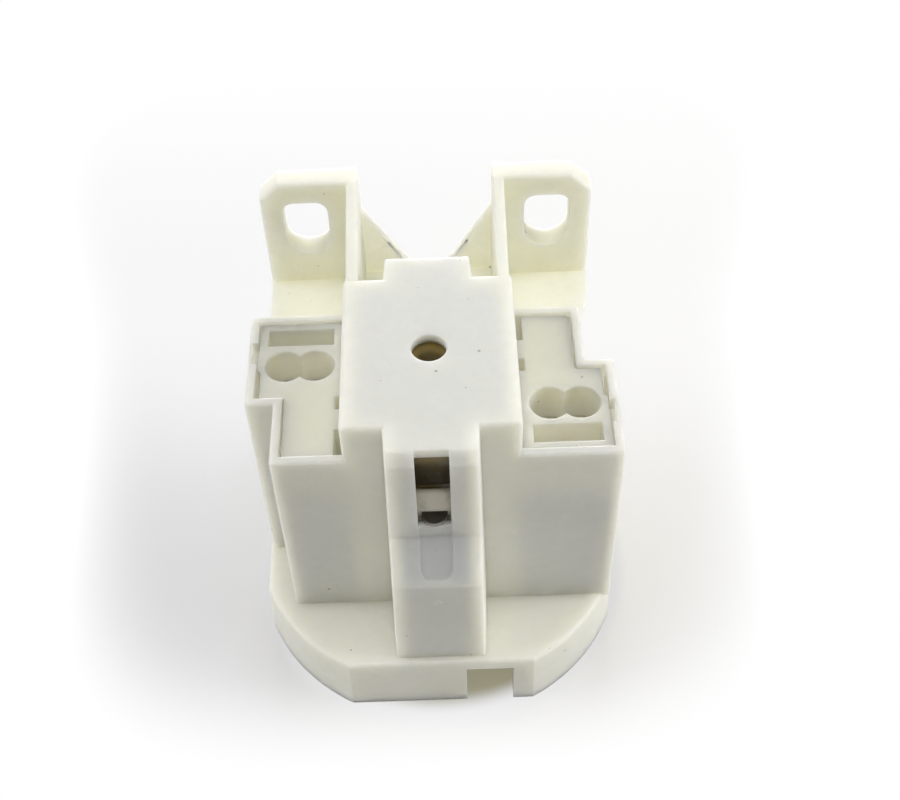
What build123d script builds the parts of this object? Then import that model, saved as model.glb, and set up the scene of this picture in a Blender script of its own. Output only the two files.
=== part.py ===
"""Push-in lamp holder for a two-pin compact fluorescent lamp, with upright fixing lugs.

Millimetres. The origin is on the lamp axis, in the plane of the skirt's open rim. +Z points
away from the lamp, the fixing lugs stand at +Y and the front rib at -Y. Apart from the lugs,
everything is the same again after half a turn about the lamp axis.
"""
import os
from math import atan2, degrees

from build123d import *

# Flange and skirt round the lamp cap
flange_radius = 22.1
flange_half_width = 20.45
flange_half_depth = 19.4
skirt_height = 8.1
skirt_draft = 1.5
skirt_wall = 1.6
flange_thickness = 1.5
flange_edge_round = 0.45
skirt_slot_start = 2.85
skirt_slot_width = 5.4

# Tower over the lamp's key post
tower_half_width = 9.25
tower_half_depth = 10.6
tower_top = 40.1
tower_wall = 1.55
top_plate = 1.2
tower_edge_round = 0.45
centre_hole_radius = 1.9
key_rib_width = 1.2
key_rib_depth = 1.0
key_rib_height = 14.0
key_rib_place = 5.2

# Ribs at the front and back of the tower, over the legs of the retention spring
rib_half_width_top = 4.7
rib_half_width_foot = 5.6
rib_draft = 0.55
rib_reach = 3.0
rib_chamfer = 1.2
rib_foot_reach = 7.7
rib_shoulder_low = 22.6
rib_shoulder_high = 26.9
rib_wall = 0.9
rib_side_wall = 1.3
rib_edge_round = 0.35
rib_shoulder_round = 0.6
window_half_width = 1.75
window_sill = 28.55
panel_depth = 0.12
panel_length = 5.4
panel_corner_round = 1.0

# Terminal pockets, one at each side of the tower
rim_top = 34.8
pocket_reach = 10.7
pocket_narrow_reach = 7.6
pocket_step = 2.45
pocket_wall = 0.95
pocket_step_wall = 0.85
pocket_edge_round = 0.3
rim_chamfer = 0.2
dent_depth = 0.6
dent_start = -6.5
dent_length = 3.1
dent_drop = 1.6

# Fixing bracket: a shelf, two lugs, two side walls and a low web
shelf_top = 28.0
shelf_thickness = 2.0
shelf_flare_length = 8.7
shelf_narrowing = 0.2
lug_half_span = 19.2
lug_front = 23.1
lug_thickness = 2.85
lug_top = 43.2
lug_chamfer = 2.3
lug_edge_round = 0.4
lug_slot_centre = 14.1
lug_slot_width = 5.3
lug_slot_foot = 32.5
lug_slot_height = 7.85
lug_slot_corner = 1.5
bracket_wall = 1.3
bracket_edge_round = 0.35
web_rise = 9.4
web_inner_place = 2.0
web_thickness = 1.2
web_edge_round = 0.3
buttress_rise = 6.4
buttress_reach = 0.9
buttress_outer_rise = 1.0
gusset_drop = 11.0

# Terminal inserts
fit_clearance = 0.13
insert_drop = 0.35
insert_plate = 4.9
insert_depth = 13.5
insert_wall = 1.0
insert_corner_round = 0.7
insert_edge_round = 0.2
insert_jog = 0.35
insert_jog_place = -2.6
entry_inset = 5.0
entry_place = -3.25
entry_pitch = 3.25
entry_radius = 2.2
entry_chamfer = 0.1
release_inset = 1.1
release_length = 7.3
release_width = 2.45
notch_depth = 0.92
notch_near_start = 1.35
notch_near_end = 3.2
notch_far_start = 5.9
latch_length = 7.0
latch_thickness = 1.1
latch_nose = 0.45
latch_nose_height = 1.2
lip_height = 0.9
lip_reach = 0.9

# Contacts: one folded strip and one clamp leaf for each lamp pin
pin_spacing = 24.0
pin_hole_radius = 1.6
strip_thickness = 0.4
clip_width = 4.0
clip_half_gap = 1.5
clip_pinch_half_gap = 1.1
clip_pinch_rise = 3.3
clip_shoulder = 1.6
clip_bend = 0.5
clip_drop = 1.95
blade_width = 7.2
blade_overlap = 0.48
blade_neck_gap = 0.3
leaf_thickness = 0.35
leaf_bend = 0.9
leaf_tip_gap = 0.85
leaf_tip_rise = 3.3
tongue_width = 3.0

# Retention spring: one folded stainless strip, its places counted from the tower's face
spring_thickness = 0.4
spring_width = 5.8
spring_gap = 0.1
spring_bend = 0.6
leg_reach = 2.2
knee_reach = 0.3
knee_rise = 2.15
elbow_reach = 3.0
elbow_rise = 0.1
straight_drop = 2.4
detent_inset = 2.4
detent_height = 19.6
leg_end_inset = 0.8
leg_end_drop = 3.0
tab_width = 2.75
tab_reach = 4.1
tab_root_inset = 0.8

# How far a cut runs past a face, so that no skin is left
overrun = 1.0

flange_underside = skirt_height - flange_thickness
plate_underside = tower_top - top_plate
side_wall_inner = tower_half_width - tower_wall
side_wall_outer = side_wall_inner + bracket_wall
shelf_underside = shelf_top - shelf_thickness
lug_back = lug_front + lug_thickness
rib_top_face = tower_half_depth + rib_reach
rib_face = rib_top_face + rib_chamfer
rib_foot_face = tower_half_depth + rib_foot_reach
pocket_wide = tower_half_width + pocket_reach
pocket_narrow = tower_half_width + pocket_narrow_reach
pocket_inner = tower_half_depth - pocket_wall
insert_top = rim_top - insert_drop
insert_inner = tower_half_width + fit_clearance
lid_foot = insert_top - insert_plate
insert_foot = insert_top - insert_depth
entry_centre = tower_half_width + entry_inset
pin_place = pin_spacing / 2
blade_front = entry_place + entry_radius - blade_overlap
chamber_back = blade_front + strip_thickness + fit_clearance
chamber_front = insert_wall + fit_clearance - pocket_inner


def half_turn(shape):
    """The same shape at the other side of the lamp axis."""
    return Rot(0, 0, 180) * shape


def both_sides(shape):
    return shape + half_turn(shape)


def block(x_from, x_to, y_from, y_to, z_from, z_to):
    size = Box(x_to - x_from, y_to - y_from, z_to - z_from)
    return Pos((x_from + x_to) / 2, (y_from + y_to) / 2, (z_from + z_to) / 2) * size


def prism(points, z_from, z_to):
    """A plan outline, as (x, y) points, carried up from one height to another."""
    return Pos(0, 0, z_from) * extrude(make_face(Polyline(points, close=True)), z_to - z_from)


def side_slab(points, x_from, x_to):
    """A side outline, as (y, z) points, carried along X."""
    face = Plane.YZ.offset(x_from) * make_face(Polyline(points, close=True))
    return extrude(face, x_to - x_from, dir=(1, 0, 0))


def front_slab(points, y_from, y_to):
    """A front outline, as (x, z) points, carried along Y."""
    face = Plane.XZ.offset(-y_from) * make_face(Polyline(points, close=True))
    return extrude(face, y_to - y_from, dir=(0, 1, 0))


def folded_strip(points, radius, thickness, x_centre, width):
    """A bent sheet strip along a (y, z) path, with its thickness to the left of the path."""
    path = FilletPolyline(*points, radius=radius)
    section = make_face(offset(path, amount=thickness, side=Side.LEFT))
    face = Plane.YZ.offset(x_centre - width / 2) * section
    return extrude(face, width, dir=(1, 0, 0))


def flange_outline(inset=0.0):
    disc = Circle(flange_radius - inset)
    return disc & Rectangle(2 * (flange_half_width - inset), 2 * (flange_half_depth - inset))


def flange_and_skirt():
    body = extrude(flange_outline(), skirt_height, taper=skirt_draft)
    body = fillet(body.faces().sort_by(Axis.Z)[-1].edges(), flange_edge_round)
    return body - extrude(flange_outline(skirt_wall), flange_underside)


def skirt_slot():
    """A slot in the skirt beside the rib, open at the rim."""
    x_to = skirt_slot_start + skirt_slot_width
    y_to = skirt_wall - flange_half_depth
    return block(skirt_slot_start, x_to, -flange_radius, y_to, -overrun, flange_underside)


def tower_shell():
    tower = block(-tower_half_width, tower_half_width, -tower_half_depth, tower_half_depth,
                  flange_underside, tower_top)
    tower = fillet(tower.edges().filter_by(Axis.Z), tower_edge_round)
    return fillet(tower.faces().sort_by(Axis.Z)[-1].edges(), tower_edge_round)


def post_cavity():
    depth = tower_half_depth - tower_wall
    room = block(-side_wall_inner, side_wall_inner, -depth, depth, -overrun, plate_underside)
    return room - both_sides(key_rib(-key_rib_place)) - both_sides(key_rib(key_rib_place))


def key_rib(place):
    """A short rib in the cavity, which admits only the matching lamp."""
    wall = tower_half_depth - tower_wall
    return block(place - key_rib_width / 2, place + key_rib_width / 2, wall - key_rib_depth, wall,
                 flange_underside, flange_underside + key_rib_height)


def rib_profile():
    """Side outline of the front rib."""
    root = tower_wall - tower_half_depth
    return [(root, flange_underside), (root, tower_top), (-rib_top_face, tower_top),
            (-rib_face, tower_top - rib_chamfer), (-rib_face, rib_shoulder_high),
            (-rib_foot_face, rib_shoulder_low), (-rib_foot_face, flange_underside)]


def rib_envelope():
    """The rib's width: a little narrower at its face than at its root, and at its top than at its foot."""
    root = tower_wall - tower_half_depth
    face = rib_half_width_foot - rib_draft
    front = -rib_foot_face - overrun
    points = [(-rib_half_width_foot, root), (-face, front), (face, front), (rib_half_width_foot, root)]
    height = tower_top - flange_underside
    lean = degrees(atan2(rib_half_width_foot - rib_half_width_top - rib_draft / 2, height))
    plan = Pos(0, 0, flange_underside) * make_face(Polyline(points, close=True))
    return extrude(plan, height, taper=lean)


def rib_body(half_width):
    """The rib's side outline with its shoulders rounded, carried to both sides of the middle."""
    outline = make_face(Polyline(rib_profile(), close=True))
    shoulders = outline.vertices().filter_by(
        lambda corner: corner.X < -tower_half_depth and corner.Y > flange_underside + overrun)
    outline = fillet(shoulders, rib_shoulder_round)
    return extrude(Plane.YZ.offset(-half_width) * outline, 2 * half_width, dir=(1, 0, 0))


def front_rib():
    rib = rib_body(rib_half_width_foot) & rib_envelope()
    side_edges = rib.edges().filter_by(Axis.X, reverse=True).filter_by(
        lambda edge: edge.center().Y < -tower_half_depth and edge.center().Z > flange_underside + overrun)
    return fillet(side_edges, rib_edge_round)


def rib_channel():
    """The room behind the rib's face, open to the tower and at the rim, for the spring's leg."""
    half_width = rib_half_width_top - rib_side_wall
    start = 2 * tower_wall - tower_half_depth
    face = rib_wall - rib_face
    foot = rib_wall - rib_foot_face
    points = [(start, -overrun), (start, plate_underside), (face, plate_underside),
              (face, rib_shoulder_high), (foot, rib_shoulder_low), (foot, -overrun)]
    return side_slab(points, -half_width, half_width)


def rib_window():
    """The opening in the rib's face, through to the channel behind it."""
    return block(-window_half_width, window_half_width, -rib_face - overrun, -rib_top_face,
                 window_sill, tower_top + overrun)


def window_panel():
    """A shallow panel with a rounded foot, which carries the window's width on down the rib."""
    outline = Rectangle(2 * window_half_width, panel_length)
    outline = fillet(outline.vertices().group_by(Axis.Y)[0], panel_corner_round)
    middle = window_sill - panel_length / 2
    cutter = extrude(Plane.XZ * Pos(0, middle) * outline, rib_foot_face, dir=(0, -1, 0))
    skin = rib_body(window_half_width)
    return cutter & (skin - Pos(0, panel_depth, 0) * skin)


def pocket_block():
    """Outside of the right-hand pocket: wide in front, narrow behind."""
    inner = tower_half_width - tower_wall / 2
    plan = [(inner, -tower_half_depth), (pocket_wide, -tower_half_depth), (pocket_wide, pocket_step),
            (pocket_narrow, pocket_step), (pocket_narrow, tower_half_depth), (inner, tower_half_depth)]
    body = prism(plan, skirt_height - flange_edge_round, rim_top)
    corners = body.edges().filter_by(Axis.Z).filter_by(lambda edge: edge.center().X > tower_half_width)
    body = fillet(corners, pocket_edge_round)
    return chamfer(body.faces().sort_by(Axis.Z)[-1].edges(), rim_chamfer)


def room_plan(clearance=0.0, jog_depth=0.0):
    """Plan of the room in the right-hand pocket, or of the insert in it, with a clearance and a jog."""
    inner = tower_half_width + clearance
    front = clearance - pocket_inner
    jog = insert_jog_place - clearance
    wide = pocket_wide - pocket_wall - clearance
    step = pocket_step - pocket_step_wall - clearance
    narrow = pocket_narrow - pocket_wall - clearance
    jogged = [(wide, jog), (wide - jog_depth, jog + jog_depth)] if jog_depth else []
    return [(inner, front), (wide, front), *jogged, (wide - jog_depth, step), (narrow, step),
            (narrow, -front), (inner, -front)]


def pocket_room():
    """The room for the insert, with a dent in the outer wall's rim."""
    wall = pocket_wide - pocket_wall
    dent = block(wall - overrun, wall + dent_depth, dent_start, dent_start + dent_length,
                 rim_top - dent_drop, rim_top + overrun)
    return prism(room_plan(), skirt_height, rim_top + overrun) + dent


def latch_recess():
    """A dent in the tower's side for the nose of the insert's latch arm."""
    return block(tower_half_width - latch_nose, insert_inner,
                 notch_near_end, notch_far_start,
                 lid_foot - latch_length - fit_clearance,
                 lid_foot - latch_length + latch_nose_height + fit_clearance)


def pin_hole():
    return Pos(pin_place, 0, 0) * Cylinder(pin_hole_radius, 3 * skirt_height)


def shelf():
    """The shelf behind the tower, flared on its right and a little narrower than the lugs in front."""
    inner = tower_half_depth - pocket_wall / 2
    right = pocket_narrow - pocket_edge_round
    edge = lug_half_span - shelf_narrowing
    points = [(-edge, inner), (right, inner), (right, tower_half_depth),
              (edge, tower_half_depth + shelf_flare_length), (lug_half_span, lug_front),
              (lug_half_span, lug_back), (-lug_half_span, lug_back), (-lug_half_span, lug_front)]
    return prism(points, shelf_underside, shelf_top)


def lug():
    """The right-hand lug plate with its fixing slot."""
    points = [(side_wall_inner, shelf_underside), (lug_half_span, shelf_underside),
              (lug_half_span, lug_top - lug_chamfer), (lug_half_span - lug_chamfer, lug_top),
              (side_wall_inner, lug_top)]
    plate = front_slab(points, lug_front, lug_back)
    rims = plate.faces().filter_by(Axis.Y).edges().filter_by(lambda edge: edge.center().Z > shelf_top)
    return fillet(rims, lug_edge_round) - lug_slot()


def lug_slot():
    """A slot with a round foot and a flatter head."""
    outline = Rectangle(lug_slot_width, lug_slot_height)
    head = outline.vertices().group_by(Axis.Y)[-1]
    outline = fillet(head, lug_slot_corner) & Pos(0, lug_slot_width / 2) * outline
    foot = Pos(0, (lug_slot_width - lug_slot_height) / 2) * Circle(lug_slot_width / 2)
    middle = lug_slot_foot + lug_slot_height / 2
    face = Plane.XZ.offset(overrun - lug_front) * Pos(lug_slot_centre, middle) * (outline + foot)
    return extrude(face, lug_thickness + 2 * overrun, dir=(0, 1, 0))


def side_wall():
    """The tower's side wall carried back to the lug, with a gusset under the shelf."""
    root = tower_half_depth - tower_wall
    points = [(root, tower_top - tower_edge_round), (tower_half_depth, tower_top), (lug_front, lug_top),
              (lug_back, lug_top), (lug_back, shelf_underside), (root, shelf_underside - gusset_drop)]
    wall = side_slab(points, side_wall_inner, side_wall_outer)
    middle = (shelf_top + lug_top) / 2
    rims = wall.edges().filter_by(Axis.X, reverse=True).filter_by(
        lambda edge: edge.center().Y > tower_half_depth and edge.center().Z > middle)
    return fillet(rims, bracket_edge_round)


def web():
    """A low web behind the tower that falls from the side wall towards the middle."""
    points = [(side_wall_outer, shelf_underside), (side_wall_outer, shelf_top + web_rise),
              (side_wall_inner, shelf_top + web_rise), (web_inner_place, shelf_top),
              (web_inner_place, shelf_underside)]
    plate = front_slab(points, lug_back - web_thickness, lug_back)
    slant = plate.edges().filter_by(lambda edge: web_inner_place < edge.center().X < side_wall_inner
                                    and edge.center().Z > shelf_top)
    return fillet(slant.filter_by(Axis.Y, reverse=True), web_edge_round) + buttress(points)


def buttress(web_points):
    """A slight slope at the web's foot that grows towards the middle."""
    front = lug_back - web_thickness
    outer = Vector(side_wall_outer, front, shelf_top + buttress_outer_rise)
    inner = Vector(web_inner_place, front, shelf_top + buttress_rise)
    toe = Vector(web_inner_place, front - buttress_reach, shelf_top)
    slope = Plane(origin=toe, z_dir=(outer - toe).cross(inner - toe))
    return split(front_slab(web_points, front - buttress_reach, front), bisect_by=slope, keep=Keep.BOTTOM)


def housing():
    body = flange_and_skirt() + tower_shell()
    body += both_sides(front_rib())
    body += both_sides(pocket_block())
    bracket = lug() + side_wall() + web()
    body += shelf()
    body += bracket
    body += mirror(bracket, Plane.YZ)
    body -= post_cavity()
    body -= both_sides(rib_channel())
    body -= both_sides(rib_window())
    body -= both_sides(window_panel())
    body -= both_sides(pocket_room())
    body -= both_sides(latch_recess())
    body -= both_sides(pin_hole())
    body -= both_sides(skirt_slot())
    return body - Pos(0, 0, tower_top) * Cylinder(centre_hole_radius, 3 * top_plate)


def chamber():
    """The room in the insert for the blade and the leaf, with a lip in front that holds the leaf."""
    half_length = entry_pitch / 2 + entry_radius + fit_clearance
    x_from = entry_centre - half_length
    x_to = entry_centre + half_length
    room = block(x_from, x_to, chamber_front, chamber_back, insert_foot - overrun, lid_foot)
    lip = block(x_from, x_to, chamber_front, chamber_front + lip_reach, insert_foot, insert_foot + lip_height)
    return room - lip


def wire_entries():
    """Two round entries that run into each other, each with a chamfered mouth."""
    entry = Cylinder(entry_radius, 2 * insert_plate)
    entry += Pos(0, 0, -entry_chamfer / 2) * Cone(entry_radius, entry_radius + entry_chamfer, entry_chamfer)
    near = Pos(entry_centre - entry_pitch / 2, entry_place, insert_top) * entry
    far = Pos(entry_centre + entry_pitch / 2, entry_place, insert_top) * entry
    return near + far


def latch_arm():
    """A sprung arm under the lid, with a nose that snaps into the dent in the tower's side."""
    y_from = notch_near_end + fit_clearance
    y_to = notch_far_start - fit_clearance
    foot = lid_foot - latch_length
    nose_top = foot + latch_nose_height
    nose_face = insert_inner - latch_nose
    points = [(insert_inner, foot), (nose_face, (foot + nose_top) / 2), (nose_face, nose_top),
              (insert_inner, nose_top), (insert_inner, lid_foot),
              (insert_inner + latch_thickness, lid_foot), (insert_inner + latch_thickness, foot)]
    return front_slab(points, y_from, y_to)


def terminal_insert():
    """Right-hand insert: a lid with two joined wire entries, a chamber and a latch arm below."""
    lid = prism(room_plan(fit_clearance, insert_jog), lid_foot, insert_top)
    lid = fillet(lid.edges().filter_by(Axis.Z).group_by(Axis.Y)[-1].sort_by(Axis.X)[-1], insert_corner_round)
    lid = fillet(lid.faces().sort_by(Axis.Z)[-1].edges(), insert_edge_round)
    outer = pocket_wide - pocket_wall - insert_jog - fit_clearance
    body = lid + block(insert_inner, outer, fit_clearance - pocket_inner, chamber_back + insert_wall,
                       insert_foot, lid_foot)
    body -= chamber()
    body -= wire_entries()
    release = Box(release_length, release_width, 2 * insert_plate)
    body -= Pos(entry_centre, chamber_front + release_inset, insert_top) * release
    notch_edge = insert_inner + notch_depth
    body -= block(tower_half_width, notch_edge, notch_near_start, notch_near_end,
                  insert_foot, insert_top + overrun)
    body -= block(tower_half_width, notch_edge, notch_far_start, tower_half_depth,
                  insert_foot, insert_top + overrun)
    return body + latch_arm()


def contact_strip():
    """Right-hand contact: a sprung clip for the lamp's pin, with a blade for the wires."""
    foot = skirt_height + fit_clearance
    head = insert_foot - clip_drop - strip_thickness
    pinch = foot + clip_pinch_rise
    shoulder = head - clip_shoulder
    rise = [(-clip_half_gap, foot), (-clip_pinch_half_gap, pinch), (-clip_half_gap, shoulder),
            (-clip_half_gap, head)]
    fall = [(-y, z) for y, z in reversed(rise)]
    clip = folded_strip(rise + fall, clip_bend, strip_thickness, pin_place, clip_width)
    blade_start = entry_centre - blade_width / 2
    blade_end = entry_centre + blade_width / 2
    neck = pin_place + clip_width / 2 + blade_neck_gap
    shoulder_foot = head + strip_thickness + blade_neck_gap
    blade_top = lid_foot - fit_clearance
    points = [(neck, head), (blade_end, head), (blade_end, blade_top), (blade_start, blade_top),
              (blade_start, shoulder_foot), (neck, shoulder_foot)]
    blade = front_slab(points, blade_front, blade_front + strip_thickness)
    bridge = block(pin_place, blade_end, blade_front, clip_half_gap - clip_bend, head, head + strip_thickness)
    bridge -= block(pin_place - clip_width, neck, -pocket_inner, -clip_half_gap + clip_bend, 0, rim_top)
    return clip + blade + bridge


def clamp_leaf():
    """Right-hand clamp: a back and a foot, and two sprung tongues that bite the wires."""
    back = chamber_front + fit_clearance
    foot = insert_foot + lip_height + fit_clearance
    front = blade_front - fit_clearance
    tip = (blade_front - leaf_tip_gap, foot + leaf_tip_rise)
    path = [tip, (back, lid_foot - fit_clearance), (back, foot), (front, foot)]
    body = folded_strip(path, leaf_bend, leaf_thickness, entry_centre, blade_width)
    gap = entry_pitch - tongue_width
    reach = back + 2 * leaf_bend
    slots = [(-gap, gap), (tongue_width + gap, blade_width), (-blade_width, -tongue_width - gap)]
    for start, end in slots:
        body -= block(entry_centre + start / 2, entry_centre + end / 2, reach, front,
                      foot + leaf_bend, lid_foot)
    return body


def retention_spring():
    """One folded strip: a bridge under the top plate and a sprung leg in each rib."""
    bridge = plate_underside - spring_gap
    elbow = tower_half_depth + elbow_reach
    leg = [(tower_half_depth + leg_reach, bridge), (tower_half_depth + knee_reach, window_sill + knee_rise),
           (elbow, window_sill + elbow_rise), (elbow, window_sill - straight_drop),
           (tower_half_depth - detent_inset, detent_height),
           (tower_half_depth - leg_end_inset, detent_height - leg_end_drop)]
    path = leg[::-1] + [(-y, z) for y, z in leg]
    strip = folded_strip(path, spring_bend, spring_thickness, 0, spring_width)
    return strip - both_sides(tab_blank()) + both_sides(tab())


def tab():
    """A half-moon tab, pushed out of the leg so that it lies on the window's sill."""
    reach = tower_half_depth + tab_reach - tab_width / 2
    root = tower_half_depth + elbow_reach - tab_root_inset
    outline = Pos(0, -reach) * Circle(tab_width / 2)
    outline += Pos(0, -(reach + root) / 2) * Rectangle(tab_width, reach - root)
    return Pos(0, 0, window_sill + fit_clearance) * extrude(outline, spring_thickness)


def tab_blank():
    """The hole that the tab leaves in the leg below it."""
    length = tab_reach - elbow_reach
    outline = Rectangle(tab_width, length)
    outline = fillet(outline.vertices().group_by(Axis.Y)[0], tab_width / 2 - spring_thickness)
    middle = window_sill + fit_clearance - length / 2
    face = Plane.XZ.offset(tower_half_depth) * Pos(0, middle) * outline
    return extrude(face, rib_reach + rib_chamfer, dir=(0, -1, 0))


parts = {"housing": housing(), "retention_spring": retention_spring()}
for name, make in [("terminal_insert", terminal_insert), ("contact_strip", contact_strip),
                   ("clamp_leaf", clamp_leaf)]:
    parts["right_" + name] = make()
    parts["left_" + name] = half_turn(make())

os.makedirs("parts", exist_ok=True)
for name, solid in parts.items():
    export_step(solid, f"parts/{name}.step")
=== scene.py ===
"""Looks for a push-in holder of a two-pin compact fluorescent lamp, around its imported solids.

Metres, in the row's own frame: +Z up from the skirt's rim, the fixing lugs at +Y, the front rib at -Y.
"""
import math

import bpy
from bpy.props import FloatProperty, FloatVectorProperty, IntProperty, PointerProperty
from mathutils import Matrix, Vector


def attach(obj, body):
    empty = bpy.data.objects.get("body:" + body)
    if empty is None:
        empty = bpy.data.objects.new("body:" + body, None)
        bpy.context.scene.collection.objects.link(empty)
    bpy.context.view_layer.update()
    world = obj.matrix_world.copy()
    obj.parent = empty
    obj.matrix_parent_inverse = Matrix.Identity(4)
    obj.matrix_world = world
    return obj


bl_info = {
    "name": "Lamp Holder Looks",
    "version": (1, 0, 0),
    "blender": (4, 5, 0),
    "location": "3D View > Sidebar > Lamp Holder",
    "description": "Plastic, spring and terminal finishes, small moulding marks and a pale stage",
    "category": "Object",
}

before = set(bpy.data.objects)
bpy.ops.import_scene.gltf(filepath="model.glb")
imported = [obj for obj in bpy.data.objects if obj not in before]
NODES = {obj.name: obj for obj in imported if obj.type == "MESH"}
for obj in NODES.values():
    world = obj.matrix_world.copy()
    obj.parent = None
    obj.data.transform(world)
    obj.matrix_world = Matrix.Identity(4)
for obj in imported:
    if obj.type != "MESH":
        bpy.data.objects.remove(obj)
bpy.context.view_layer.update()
ROOT = "root"

HOUSING = "housing"
SPRING = "retention_spring"
INSERTS = ("right_terminal_insert", "left_terminal_insert")
STRIPS = ("right_contact_strip", "left_contact_strip")
LEAVES = ("right_clamp_leaf", "left_clamp_leaf")

# Noise patterns: scale, detail, roughness and, where one is drawn out, its stretch along x, y and z.
CLOUDS = (90.0, 4.0, 0.55)
FLOW_MARKS = (260.0, 3.0, 0.6, (1.0, 1.0, 0.35))
MOTTLE = (800.0, 2.0, 0.7)
GRAIN = (5200.0, 2.0, 0.6)
DUST = (1500.0, 0.0, 0.0)
ROLLED_LINES = (900.0, 3.0, 0.6, (14.0, 1.0, 1.0))
STAIN = (420.0, 4.0, 0.6)

# What a ramp runs between in each pattern.
CLOUD_EDGES = (0.35, 0.7)
FLOW_EDGES = (0.52, 0.78)
MOTTLE_EDGES = (0.3, 0.75)
DUST_EDGES = (0.87, 0.89)
LINE_EDGES = (0.3, 0.7)
STAIN_EDGES = (0.46, 0.66)
ROUGHNESS_EDGES = (0.3, 0.7)

# Relief: radius of the soft edges, their samples, and the bump's strength and depth.
PLASTIC_RELIEF = (0.00022, 6, 0.22, 0.00002)
METAL_RELIEF = (0.00008, 4, 0.15, 0.00001)
GRAIN_SHARE = 0.5

# Plastic: a tone is a share of the base colour.
CLOUD_TONE = (0.965, 0.97, 0.95)
MARK_CLOUD_TONE = 0.96
FLOW_TONE = 0.92
MOTTLE_TONE = 0.93
LAYER_STRENGTH = 0.5
PLASTIC_ROUGHNESS = (0.42, 0.56)
PLASTIC_IOR = 1.5
SPREAD_OF_COLOURS = (1.0, 0.96, 0.8)
# Colour of the painted glow in deep openings.
PAINTED_GLOW_COLOUR = (1.0, 0.95, 0.74)
BLACK = (0.0, 0.0, 0.0)
WHITE = (1.0, 1.0, 1.0)

# Small dark specks that show on the housing. The core is the share of the radius that isn't blurred.
SPECK_COLOUR = (0.16, 0.15, 0.12)
SPECK_STRENGTH = 0.55
SPECK_RADIUS = 0.00022
SPECK_CORE = 0.5
SPECKS = (
    (0.0118, 0.024, 0.03385),
    (0.0075, 0.02427, 0.028),
    (-0.01276, -0.0106, 0.01103),
    (0.00069, -0.00327, 0.0401),
    (0.00523, -0.00069, 0.0401),
)

# Painted glow, in place of the light that comes through the walls: heights in the inserts, the skirt's inner
# radius and its height.
INSERT_TOP = (0.033, 0.0344)
INSERT_DEPTH = (0.026, 0.029)
SKIRT_WALL = (0.0172, 0.0182)
SKIRT_ROOF = (0.0055, 0.0075)

# Metal: lowest roughness of each piece, and how much the stain adds.
SPRING_ROUGHNESS = 0.3
STRIP_ROUGHNESS = 0.26
LEAF_ROUGHNESS = 0.28
ROUGHNESS_RISE = 0.14
STAIN_TONE = 0.35
STAIN_STRENGTH = 0.5
LINE_STRENGTH = 0.25

# The spring's painted shade and reflection: where its tongues start, out from the lamp axis, and the heights
# of its upper parts; the tones darken these parts in place of the dark surroundings that they reflect.
TONGUE_START = (0.0128, 0.0133)
TONGUE_SHADE_TONE = 0.48
UPRIGHT_START = (0.0301, 0.0307)
UPRIGHT_SHADE_TONE = 0.3
# Painted dark reflection on the spring's top; it is not a heat tint.
DARK_REFLECTION_START = (0.035, 0.0374)

# Moulding marks: steps round the ring, and round its raised line and the ticks.
RING_STEPS = 40
BEAD_STEPS = 10

# The camera's sensor in millimetres, and how near and how far it sees.
SENSOR_WIDTH = 36.0
CLIP_START = 0.005
CLIP_END = 20.0

# The floor. Where four numbers stand, they are a ramp's start and end and its values there.
FLOOR_HALF_SIDE = 3.0
FLOOR_DROP = 0.00005
# Painted shade and light on the floor: cooler and darker at the left, warmer and lighter at the right.
LEFT_SHADE_TONE = (0.93, 0.935, 0.98)
RIGHT_LIGHT_TONE = (1.09, 1.08, 1.06)
TONE_EDGES = (-0.045, 0.045)
BOUNCE_COLOUR = (0.94, 0.93, 0.89)
FADE_CENTRE = (-0.003, 0.049)
FADE_REACH = (0.047, 0.075)
FADE_EDGES = (0.25, 1.15)
FADE_SQUARENESS = 4.0
WIDENING = (0.0, 0.1, 1.0, 0.65)
BEHIND_NEAR = (-0.02, 0.05, 0.0, 0.75)
BEHIND_FAR = (0.05, 0.11, 0.0, 0.25)
# Painted light under the skirt, seen by the eye only: an emission that fills the contact shadow at the
# skirt's rim and lights the floor inside it.
UNDER_SKIRT = (0.0222, 0.0238, 0.75, 0.0)
PAINTED_LIGHT_MIDDLE = (0.36, 0.34, 0.23)
PAINTED_LIGHT_RIM = (0.66, 0.66, 0.67)
UNDER_EDGES = (0.0185, 0.0212)
UNFADED_EDGES = (0.0185, 0.0215)

# Each light's turn and height in degrees, its disc's size, its share of the power and its colour.
WARM = (1.0, 0.96, 0.86)
LIGHTS = {
    "back": (90.0, 14.0, 0.6, 0.265, WHITE),
    "right_low": (0.0, 20.0, 0.75, 0.255, WHITE),
    "left_low": (180.0, 20.0, 0.75, 0.118, WHITE),
    "left_high": (165.0, 38.0, 1.0, 0.079, WHITE),
    "top": (0.0, 90.0, 0.9, 0.15, WHITE),
    "front_right": (300.0, 65.0, 0.75, 0.046, WARM),
    "front_left": (240.0, 65.0, 0.75, 0.038, WARM),
}
LIGHT_AIM = (0.0, 0.0, 0.03)

# A Mix node's sockets for colours.
MIX_FACTOR = 0
MIX_FIRST = 6
MIX_SECOND = 7
MIX_RESULT = 2


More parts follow.
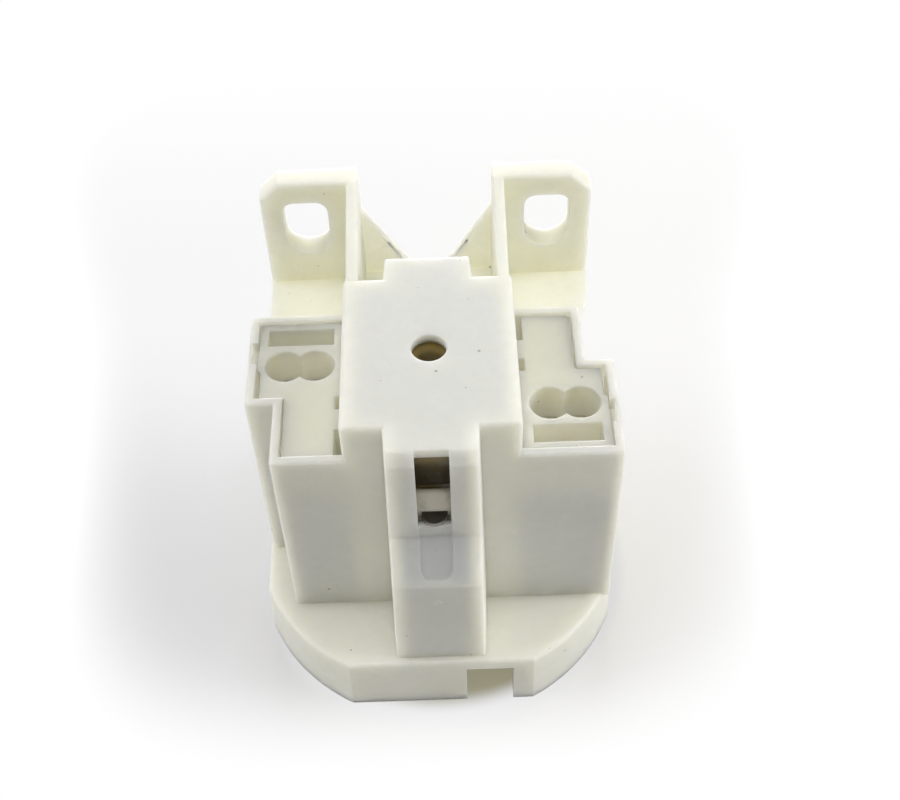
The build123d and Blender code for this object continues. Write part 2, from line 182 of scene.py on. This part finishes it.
class Sock:
    """A shader node's output. Arithmetic on a number adds its Math nodes."""

    def __init__(self, maker, socket):
        self.maker = maker
        self.socket = socket

    def _math(self, operation, *values):
        return self.maker.add("ShaderNodeMath", {"operation": operation}, dict(enumerate(values)))

    def __add__(self, other):
        return self._math("ADD", self, other)

    def __mul__(self, other):
        return self._math("MULTIPLY", self, other)

    def __sub__(self, other):
        return self._math("SUBTRACT", self, other)

    def __rsub__(self, other):
        return self._math("SUBTRACT", other, self)

    def __pow__(self, other):
        return self._math("POWER", self, other)

    def __rpow__(self, other):
        return self._math("POWER", other, self)

    __radd__ = __add__
    __rmul__ = __mul__

    def ramp(self, low, high, out_low=0.0, out_high=1.0):
        """This value eased from one range to another, and held at its ends."""
        settings = {"interpolation_type": "SMOOTHSTEP", "clamp": True}
        values = {"Value": self, "From Min": low, "From Max": high, "To Min": out_low, "To Max": out_high}
        return self.maker.add("ShaderNodeMapRange", settings, values)

    def fall(self, low, high):
        """One below a range, nought above it, and eased between."""
        return self.ramp(low, high, 1.0, 0.0)


class Shader:
    """A material's node tree, with one method that makes any node."""

    def __init__(self, name):
        self.material = bpy.data.materials.new(name)
        self.material.use_nodes = True
        self.tree = self.material.node_tree
        self.tree.nodes.clear()

    def add(self, kind, settings=None, values=None, out=0):
        """A node with its settings, the values or links of its sockets, and the output that is used."""
        node = self.tree.nodes.new(kind)
        for key, value in (settings or {}).items():
            setattr(node, key, value)
        for key, value in (values or {}).items():
            socket = node.inputs[key]
            if isinstance(value, Sock):
                self.tree.links.new(value.socket, socket)
            else:
                socket.default_value = value
        return Sock(self, node.outputs[out])

    def place(self):
        return self.add("ShaderNodeTexCoord", out="Object")

    def axis(self, letter):
        return self.add("ShaderNodeSeparateXYZ", None, {0: self.place()}, out=letter)

    def radius(self):
        """Distance from the lamp axis."""
        return (self.axis("X") ** 2.0 + self.axis("Y") ** 2.0) ** 0.5

    def noise(self, scale, detail, roughness, stretch=(1.0, 1.0, 1.0)):
        at = self.add("ShaderNodeMapping", None, {"Vector": self.place(), "Scale": stretch})
        values = {"Vector": at, "Scale": scale, "Detail": detail, "Roughness": roughness}
        return self.add("ShaderNodeTexNoise", None, values)

    def spots(self, places, core, radius):
        """Small round marks about some places, plain inside the core and faded out at the radius."""
        settings = {"operation": "DISTANCE"}
        total = None
        for place in places:
            apart = self.add("ShaderNodeVectorMath", settings, {0: self.place(), 1: place}, out="Value")
            spot = apart.fall(core, radius)
            total = spot if total is None else total + spot
        return total

    def mix(self, factor, first, second):
        """Two colours, mixed by a factor."""
        values = {MIX_FACTOR: factor, MIX_FIRST: first, MIX_SECOND: second}
        return self.add("ShaderNodeMix", {"data_type": "RGBA"}, values, out=MIX_RESULT)

    def relief(self, height, edge, samples, strength, depth):
        """A normal with soft edges and a fine relief."""
        soft = self.add("ShaderNodeBevel", {"samples": samples}, {"Radius": edge})
        values = {"Strength": strength, "Distance": depth, "Height": height, "Normal": soft}
        return self.add("ShaderNodeBump", None, values)

    def surface(self, values):
        """The finished material of one Principled shader."""
        return self.finish(self.add("ShaderNodeBsdfPrincipled", None, values))

    def finish(self, shader):
        """The finished material of any shader."""
        node = self.tree.nodes.new("ShaderNodeOutputMaterial")
        self.tree.links.new(shader.socket, node.inputs["Surface"])
        return self.material


def rgba(colour, tone=1.0):
    """A colour as the nodes take it, made darker or lighter by a tone."""
    return (*(channel * tone for channel in colour), 1.0)


class PlasticSettings(bpy.types.PropertyGroup):
    """The moulded plastic of the housing and the inserts."""

    housing_colour: FloatVectorProperty(
        name="Housing colour", description="Base colour of the housing", subtype="COLOR",
        size=3, min=0.0, max=1.0, default=(0.845, 0.84, 0.745))
    insert_colour: FloatVectorProperty(
        name="Insert colour", description="Base colour of the terminal inserts", subtype="COLOR",
        size=3, min=0.0, max=1.0, default=(0.78, 0.77, 0.67))
    glow: FloatProperty(
        name="Translucency", description="Share of the light that passes under the surface",
        subtype="FACTOR", min=0.0, max=1.0, default=1.0)
    # Painted glow: an emission in deep openings in place of the light that comes through the translucent
    # walls.
    painted_inner_glow: FloatProperty(
        name="Inner light",
        description="Strength of the light that has come through the walls into deep openings",
        min=0.0, default=0.1)
    depth: FloatProperty(
        name="Depth", description="How far light spreads inside the plastic", subtype="DISTANCE",
        unit="LENGTH", min=0.0, default=0.004)


class MetalSettings(bpy.types.PropertyGroup):
    """The sheet metal of the spring and the contacts."""

    spring_colour: FloatVectorProperty(
        name="Spring colour", description="Base colour of the retention spring", subtype="COLOR",
        size=3, min=0.0, max=1.0, default=(0.58, 0.565, 0.52))
    # Painted reflection: the spring's upper part takes this dark colour in place of the dark surroundings
    # that it mirrors; it is not a heat tint.
    dark_reflection_colour: FloatVectorProperty(
        name="Tinted spring colour", description="Base colour of the spring's heat-tinted upper part",
        subtype="COLOR", size=3, min=0.0, max=1.0, default=(0.24, 0.18, 0.07))
    strip_colour: FloatVectorProperty(
        name="Contact colour", description="Base colour of the contact strips", subtype="COLOR",
        size=3, min=0.0, max=1.0, default=(0.7, 0.66, 0.56))
    leaf_colour: FloatVectorProperty(
        name="Clamp colour", description="Base colour of the clamp leaves", subtype="COLOR",
        size=3, min=0.0, max=1.0, default=(0.6, 0.59, 0.56))


class MarkSettings(bpy.types.PropertyGroup):
    """The small moulding marks."""

    ring_radius: FloatProperty(
        name="Ring radius", description="Radius of the ring on the front rib",
        subtype="DISTANCE", unit="LENGTH", min=0.0001, default=0.00042)
    ring_place: FloatVectorProperty(
        name="Ring place", description="Centre of the ring on the front rib", subtype="XYZ",
        unit="LENGTH", size=3, default=(-0.00005, -0.0183, 0.0195))
    bead_radius: FloatProperty(
        name="Bead radius", description="Half the width of the ring's raised line",
        subtype="DISTANCE", unit="LENGTH", min=0.00001, default=0.00004)
    tick_radius: FloatProperty(
        name="Tick radius", description="Half the width of each tick",
        subtype="DISTANCE", unit="LENGTH", min=0.00001, default=0.0001)
    tick_start: FloatVectorProperty(
        name="Tick start", description="Lower end of the tick on the right insert's front edge",
        subtype="XYZ", unit="LENGTH", size=3, default=(0.01505, -0.0098, 0.03418))
    tick_end: FloatVectorProperty(
        name="Tick end", description="Upper end of the tick on the right insert's front edge",
        subtype="XYZ", unit="LENGTH", size=3, default=(0.01505, -0.0092, 0.03455))
    turns: IntProperty(
        name="Copies", description="Number of copies about the lamp axis, half a turn apart",
        min=1, max=2, default=2)


class StageSettings(bpy.types.PropertyGroup):
    """The camera, the floor and the light."""

    azimuth: FloatProperty(
        name="Azimuth", description="Turn of the camera about the lamp axis, in degrees", default=0.03)
    elevation: FloatProperty(
        name="Elevation", description="Height of the camera over the horizon, in degrees", default=49.58)
    roll: FloatProperty(
        name="Roll", description="Roll of the camera about its own view, in degrees", default=-2.03)
    distance: FloatProperty(
        name="Distance", description="Distance from the camera to the point that it looks at",
        subtype="DISTANCE", unit="LENGTH", default=0.15487)
    target: FloatVectorProperty(
        name="Target", description="The point that the camera looks at", subtype="XYZ",
        unit="LENGTH", size=3, default=(0.00202, 0.00349, 0.02747))
    lens: FloatProperty(
        name="Lens", description="Focal length, in millimetres on a 36 mm sensor", default=54.648)
    power: FloatProperty(
        name="Power", description="Power, in watts, that each light takes its own share of",
        min=0.0, default=38.5)
    light_distance: FloatProperty(
        name="Light distance", description="Distance from the object to each light",
        subtype="DISTANCE", unit="LENGTH", min=0.5, default=1.25)
    paper: FloatProperty(
        name="Paper", description="How pale the floor looks beside the object",
        subtype="FACTOR", min=0.0, max=1.0, default=0.7)


def painted_glow_in_inserts(shade):
    """Where the painted glow goes: one in the deep openings of the inserts and on their hidden sides, nought
    on their tops.
    """
    height = shade.axis("Z")
    return height.fall(*INSERT_TOP) * height.ramp(*INSERT_DEPTH)


def painted_glow_in_skirt(shade):
    """Where the painted glow goes: one on the walls inside the skirt, nought outside."""
    return shade.radius().fall(*SKIRT_WALL) * shade.axis("Z").fall(*SKIRT_ROOF)


def plastic(name, colour, settings, inside):
    """Satin moulded plastic: clouds, flow marks, mottling, a fine grain, soft edges, dark specks and a
    painted glow in deep openings.
    """
    shade = Shader(name)
    clouds = shade.noise(*CLOUDS)
    flow = shade.noise(*FLOW_MARKS)
    cloud_colour = [channel * tone for channel, tone in zip(colour, CLOUD_TONE)]
    tint = shade.mix(clouds.ramp(*CLOUD_EDGES), rgba(colour), rgba(cloud_colour))
    layers = (
        (flow.ramp(*FLOW_EDGES), FLOW_TONE),
        (shade.noise(*MOTTLE).ramp(*MOTTLE_EDGES), MOTTLE_TONE),
    )
    for pattern, tone in layers:
        tint = shade.mix(pattern * LAYER_STRENGTH, tint, rgba(colour, tone))
    dust = shade.noise(*DUST).ramp(*DUST_EDGES)
    specks = dust + shade.spots(SPECKS, SPECK_RADIUS * SPECK_CORE, SPECK_RADIUS)
    tint = shade.mix(specks * SPECK_STRENGTH, tint, rgba(SPECK_COLOUR))
    return shade.surface({
        "Base Color": tint,
        "Roughness": clouds.ramp(*ROUGHNESS_EDGES, *PLASTIC_ROUGHNESS),
        "Normal": shade.relief(shade.noise(*GRAIN) * GRAIN_SHARE + flow, *PLASTIC_RELIEF),
        "IOR": PLASTIC_IOR,
        "Subsurface Weight": settings.glow,
        "Subsurface Radius": SPREAD_OF_COLOURS,
        "Subsurface Scale": settings.depth,
        # Painted glow in the openings, in place of light that comes through the walls.
        "Emission Color": shade.mix(inside(shade), rgba(BLACK), rgba(PAINTED_GLOW_COLOUR)),
        "Emission Strength": settings.painted_inner_glow,
    })


def mark_plastic(name, colour):
    """The housing's plastic for raised lines that are too fine for soft edges."""
    shade = Shader(name)
    clouds = shade.noise(*CLOUDS)
    return shade.surface({
        "Base Color": shade.mix(clouds.ramp(*CLOUD_EDGES), rgba(colour), rgba(colour, MARK_CLOUD_TONE)),
        "Roughness": clouds.ramp(*ROUGHNESS_EDGES, *PLASTIC_ROUGHNESS),
        "IOR": PLASTIC_IOR,
    })


def spring_painted_shade(shade, colour, painted_dark):
    """The spring's colour by place: plain, with painted shade on its tongues and uprights and a painted dark
    reflection at the top.
    """
    height = shade.axis("Z")
    outward = (shade.axis("Y") ** 2.0) ** 0.5
    # Painted shade on the tongues, then on the uprights, then a painted dark reflection at the top.
    base = shade.mix(outward.ramp(*TONGUE_START), rgba(colour), rgba(colour, TONGUE_SHADE_TONE))
    base = shade.mix(height.ramp(*UPRIGHT_START), base, rgba(painted_dark, UPRIGHT_SHADE_TONE))
    return shade.mix(height.ramp(*DARK_REFLECTION_START), base, rgba(painted_dark))


def sheet_metal(name, colour, roughness, painted_dark=None):
    """Rolled strip: fine lines along the strip, a little stain, a soft sheen and, if asked, painted shade
    and a painted dark reflection.
    """
    shade = Shader(name)
    lines = shade.noise(*ROLLED_LINES)
    stain = shade.noise(*STAIN)
    base = rgba(colour) if painted_dark is None else spring_painted_shade(shade, colour, painted_dark)
    stained = shade.mix(stain.ramp(*STAIN_EDGES) * STAIN_STRENGTH, base, rgba(colour, STAIN_TONE))
    return shade.surface({
        "Base Color": shade.mix(lines.ramp(*LINE_EDGES) * LINE_STRENGTH, stained, base),
        "Metallic": 1.0,
        "Roughness": stain.ramp(*ROUGHNESS_EDGES, roughness, roughness + ROUGHNESS_RISE),
        "Normal": shade.relief(lines, *METAL_RELIEF),
    })


def dress(names, material):
    """Gives a material to CAD nodes, whose meshes stay as they are."""
    for name in names:
        node = NODES[name]
        if node.data.materials:
            for index in range(len(node.data.materials)):
                node.data.materials[index] = material
        else:
            node.data.materials.append(material)


class LAMPHOLDER_OT_housing(bpy.types.Operator):
    """Finish the housing in satin white plastic"""

    bl_idname = "lampholder.housing"
    bl_label = "Housing"

    def execute(self, context):
        settings = context.scene.lampholder_plastic
        material = plastic("housing plastic", settings.housing_colour, settings, painted_glow_in_skirt)
        dress([HOUSING], material)
        return {"FINISHED"}


class LAMPHOLDER_OT_inserts(bpy.types.Operator):
    """Finish the terminal inserts in a slightly darker plastic"""

    bl_idname = "lampholder.inserts"
    bl_label = "Terminal inserts"

    def execute(self, context):
        settings = context.scene.lampholder_plastic
        material = plastic("insert plastic", settings.insert_colour, settings, painted_glow_in_inserts)
        dress(INSERTS, material)
        return {"FINISHED"}


class LAMPHOLDER_OT_spring(bpy.types.Operator):
    """Finish the retention spring in stained stainless strip, with painted shade and a painted dark
    reflection on its upper part
    """

    bl_idname = "lampholder.spring"
    bl_label = "Retention spring"

    def execute(self, context):
        settings = context.scene.lampholder_metal
        colour, painted_dark = settings.spring_colour, settings.dark_reflection_colour
        material = sheet_metal("spring strip", colour, SPRING_ROUGHNESS, painted_dark)
        dress([SPRING], material)
        return {"FINISHED"}


class LAMPHOLDER_OT_contacts(bpy.types.Operator):
    """Finish the contact strips and the clamp leaves"""

    bl_idname = "lampholder.contacts"
    bl_label = "Contacts"

    def execute(self, context):
        settings = context.scene.lampholder_metal
        dress(STRIPS, sheet_metal("contact strip", settings.strip_colour, STRIP_ROUGHNESS))
        dress(LEAVES, sheet_metal("clamp leaf", settings.leaf_colour, LEAF_ROUGHNESS))
        return {"FINISHED"}


class LAMPHOLDER_OT_marks(bpy.types.Operator):
    """Make the ring on the front rib and the tick on the insert's edge, repeated by half a turn"""

    bl_idname = "lampholder.marks"
    bl_label = "Moulding marks"

    def execute(self, context):
        settings = context.scene.lampholder_marks
        colour = context.scene.lampholder_plastic.housing_colour
        mesh = marks_mesh(settings, mark_plastic("mark plastic", colour))
        if not mesh.polygons:
            raise RuntimeError("the moulding marks came out empty")
        piece = bpy.data.objects.new("moulding_marks", mesh)
        context.scene.collection.objects.link(piece)
        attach(piece, ROOT)
        return {"FINISHED"}


def marks_tree(settings, material):
    """A tree of geometry nodes for the marks, and the values of its inputs by identifier."""
    tree = bpy.data.node_groups.new("moulding marks", "GeometryNodeTree")
    sizes = {
        "Ring radius": settings.ring_radius,
        "Bead radius": settings.bead_radius,
        "Tick radius": settings.tick_radius,
        "Turns": settings.turns,
    }
    values = {}
    tree.interface.new_socket("Geometry", in_out="INPUT", socket_type="NodeSocketGeometry")
    for label, size in sizes.items():
        kind = "NodeSocketInt" if isinstance(size, int) else "NodeSocketFloat"
        socket = tree.interface.new_socket(label, in_out="INPUT", socket_type=kind)
        values[socket.identifier] = size
    tree.interface.new_socket("Geometry", in_out="OUTPUT", socket_type="NodeSocketGeometry")

    def add(kind, inputs=None, **options):
        node = tree.nodes.new(kind)
        for key, value in options.items():
            setattr(node, key, value)
        for key, value in (inputs or {}).items():
            if isinstance(value, bpy.types.NodeSocket):
                tree.links.new(value, node.inputs[key])
            else:
                node.inputs[key].default_value = value
        return node.outputs

    def circle(steps, label):
        return add("GeometryNodeCurvePrimitiveCircle", {"Resolution": steps, "Radius": given[label]})[0]

    def tube(path, profile, caps):
        inputs = {"Curve": path, "Profile Curve": profile, "Fill Caps": caps}
        return add("GeometryNodeCurveToMesh", inputs)[0]

    given = add("NodeGroupInput")
    ring = tube(circle(RING_STEPS, "Ring radius"), circle(BEAD_STEPS, "Bead radius"), False)
    upright = (math.radians(90.0), 0.0, 0.0)
    ring = add("GeometryNodeTransform", {
        "Geometry": ring, "Rotation": upright, "Translation": settings.ring_place})[0]
    tick = add("GeometryNodeCurvePrimitiveLine", {"Start": settings.tick_start, "End": settings.tick_end})[0]
    tick = tube(tick, circle(BEAD_STEPS, "Tick radius"), True)
    join = tree.nodes.new("GeometryNodeJoinGeometry")
    for mark in (ring, tick):
        tree.links.new(mark, join.inputs[0])
    centres = add("GeometryNodePoints", {"Count": given["Turns"]})[0]
    index = add("GeometryNodeInputIndex")[0]
    turn = add("ShaderNodeMath", {0: index, 1: math.pi}, operation="MULTIPLY")[0]
    turn = add("ShaderNodeCombineXYZ", {"Z": turn})[0]
    copies = add("GeometryNodeInstanceOnPoints", {
        "Points": centres, "Instance": join.outputs[0], "Rotation": turn})[0]
    real = add("GeometryNodeRealizeInstances", {"Geometry": copies})[0]
    painted = add("GeometryNodeSetMaterial", {"Geometry": real, "Material": material})[0]
    add("NodeGroupOutput", {"Geometry": painted})
    return tree, values


def marks_mesh(settings, material):
    """The marks as one plain mesh, which their tree makes on an object that is then removed."""
    holder = bpy.data.objects.new("marks holder", bpy.data.meshes.new("marks holder"))
    bpy.context.scene.collection.objects.link(holder)
    modifier = holder.modifiers.new("marks", "NODES")
    tree, values = marks_tree(settings, material)
    modifier.node_group = tree
    for identifier, value in values.items():
        modifier[identifier] = value
    bpy.context.view_layer.update()
    graph = bpy.context.evaluated_depsgraph_get()
    mesh = bpy.data.meshes.new_from_object(holder.evaluated_get(graph))
    bpy.data.objects.remove(holder)
    return mesh


class LAMPHOLDER_OT_stage(bpy.types.Operator):
    """Make the camera, the pale floor and the soft studio light"""

    bl_idname = "lampholder.stage"
    bl_label = "Stage"

    def execute(self, context):
        settings = context.scene.lampholder_stage
        make_camera(context.scene, settings)
        make_floor(context.scene, settings)
        make_lights(context.scene, settings)
        return {"FINISHED"}


def make_camera(scene, settings):
    """A camera at its turn, height and distance from the target, rolled about its own view."""
    azimuth = math.radians(settings.azimuth)
    elevation = math.radians(settings.elevation)
    roll = math.radians(settings.roll)
    level = math.cos(elevation)
    forward = Vector((-math.sin(azimuth) * level, math.cos(azimuth) * level, -math.sin(elevation)))
    right = Vector((math.cos(azimuth), math.sin(azimuth), 0.0))
    up = right.cross(forward)
    across = math.cos(roll) * right + math.sin(roll) * up
    upward = math.cos(roll) * up - math.sin(roll) * right
    camera = bpy.data.objects.new("camera", bpy.data.cameras.new("camera"))
    scene.collection.objects.link(camera)
    turn = Matrix((across, upward, -forward)).transposed().to_4x4()
    camera.matrix_world = Matrix.Translation(Vector(settings.target) - forward * settings.distance) @ turn
    camera.data.sensor_width = SENSOR_WIDTH
    camera.data.lens = settings.lens
    camera.data.clip_start = CLIP_START
    camera.data.clip_end = CLIP_END
    scene.camera = camera


def make_floor(scene, settings):
    """A flat floor that keeps a soft shadow near the object and is plain white further out."""
    side = FLOOR_HALF_SIDE
    mesh = bpy.data.meshes.new("floor")
    corners = [(-side, -side, 0), (side, -side, 0), (side, side, 0), (-side, side, 0)]
    mesh.from_pydata(corners, [], [(0, 1, 2, 3)])
    mesh.materials.append(floor_paper(settings))
    floor = bpy.data.objects.new("floor", mesh)
    floor.location.z = -FLOOR_DROP
    scene.collection.objects.link(floor)


def floor_paper(settings):
    """Paper that is plain to the light, and that the eye sees with painted shade at the left and painted
    light at the right, faded out to white, and with painted light under the skirt.
    """
    shade = Shader("floor paper")
    x = shade.axis("X")
    y = shade.axis("Y")
    radius = shade.radius()
    seen = shade.add("ShaderNodeLightPath", out="Is Camera Ray")
    for ray in ("Is Glossy Ray", "Is Transmission Ray"):
        seen = seen + shade.add("ShaderNodeLightPath", out=ray)

    # Painted shade at the left of the floor and painted light at its right.
    tones = (rgba(tone, settings.paper) for tone in (LEFT_SHADE_TONE, RIGHT_LIGHT_TONE))
    pale = shade.mix(x.ramp(*TONE_EDGES), *tones)
    paper = shade.mix(seen, rgba(BOUNCE_COLOUR), pale)
    paper = shade.add("ShaderNodeBsdfDiffuse", None, {"Color": paper})
    # Painted light: an emission under the skirt in place of the shade there.
    lit = shade.mix(radius.ramp(*UNDER_EDGES), rgba(PAINTED_LIGHT_MIDDLE), rgba(PAINTED_LIGHT_RIM))
    lit = shade.add("ShaderNodeEmission", None, {"Color": lit, "Strength": 1.0})
    white = shade.add("ShaderNodeEmission", None, {"Color": rgba(WHITE), "Strength": 1.0})

    across = (x - FADE_CENTRE[0]) * (1.0 / FADE_REACH[0]) * y.ramp(*WIDENING)
    along = (y - FADE_CENTRE[1]) * (1.0 / FADE_REACH[1])
    away = across ** FADE_SQUARENESS + along ** FADE_SQUARENESS
    behind = y.ramp(*BEHIND_NEAR) + y.ramp(*BEHIND_FAR)
    fade = seen * (away.ramp(*FADE_EDGES) + behind) * radius.ramp(*UNFADED_EDGES)
    # Share of the painted light, strongest under the skirt.
    under = seen * radius.ramp(*UNDER_SKIRT)
    near = shade.add("ShaderNodeMixShader", None, {0: under, 1: paper, 2: lit})
    return shade.finish(shade.add("ShaderNodeMixShader", None, {0: fade, 1: near, 2: white}))


def make_lights(scene, settings):
    """Large soft lights: low ones behind and at the sides, higher ones at the left, above and in front."""
    for name, (azimuth, elevation, size, share, colour) in LIGHTS.items():
        lamp = bpy.data.lights.new(name, "AREA")
        lamp.shape = "DISK"
        lamp.size = size
        lamp.energy = settings.power * share
        lamp.color = colour
        light = bpy.data.objects.new(name, lamp)
        turn = math.radians(azimuth)
        rise = math.radians(elevation)
        toward = Vector((math.cos(rise) * math.cos(turn), math.cos(rise) * math.sin(turn), math.sin(rise)))
        light.location = Vector(LIGHT_AIM) + toward * settings.light_distance
        light.rotation_euler = toward.to_track_quat("Z", "Y").to_euler()
        scene.collection.objects.link(light)
    world = bpy.data.worlds.new("surroundings")
    world.use_nodes = True
    world.node_tree.nodes["Background"].inputs["Strength"].default_value = 0.0
    scene.world = world


class LAMPHOLDER_PT_panel(bpy.types.Panel):
    """Lists the lamp holder's pieces and their settings"""

    bl_idname = "LAMPHOLDER_PT_panel"
    bl_label = "Lamp Holder"
    bl_space_type = "VIEW_3D"
    bl_region_type = "UI"
    bl_category = "Lamp Holder"

    def draw(self, context):
        for name in SETTINGS:
            group = getattr(context.scene, name)
            box = self.layout.box()
            for key in group.__annotations__:
                box.prop(group, key)
        for operator in OPERATORS:
            self.layout.operator(operator.bl_idname)


SETTINGS = {
    "lampholder_plastic": PlasticSettings,
    "lampholder_metal": MetalSettings,
    "lampholder_marks": MarkSettings,
    "lampholder_stage": StageSettings,
}
OPERATORS = (
    LAMPHOLDER_OT_housing,
    LAMPHOLDER_OT_inserts,
    LAMPHOLDER_OT_spring,
    LAMPHOLDER_OT_contacts,
    LAMPHOLDER_OT_marks,
    LAMPHOLDER_OT_stage,
)
CLASSES = (*SETTINGS.values(), *OPERATORS, LAMPHOLDER_PT_panel)


def register():
    for item in CLASSES:
        bpy.utils.register_class(item)
    for name, group in SETTINGS.items():
        setattr(bpy.types.Scene, name, PointerProperty(type=group))


def unregister():
    for name in SETTINGS:
        delattr(bpy.types.Scene, name)
    for item in reversed(CLASSES):
        bpy.utils.unregister_class(item)


def main():
    register()
    bpy.context.scene.view_settings.view_transform = "Standard"
    for operator in (bpy.ops.lampholder.housing, bpy.ops.lampholder.inserts, bpy.ops.lampholder.spring,
                     bpy.ops.lampholder.contacts, bpy.ops.lampholder.marks, bpy.ops.lampholder.stage):
        operator()


if __name__ == "__main__":
    main()
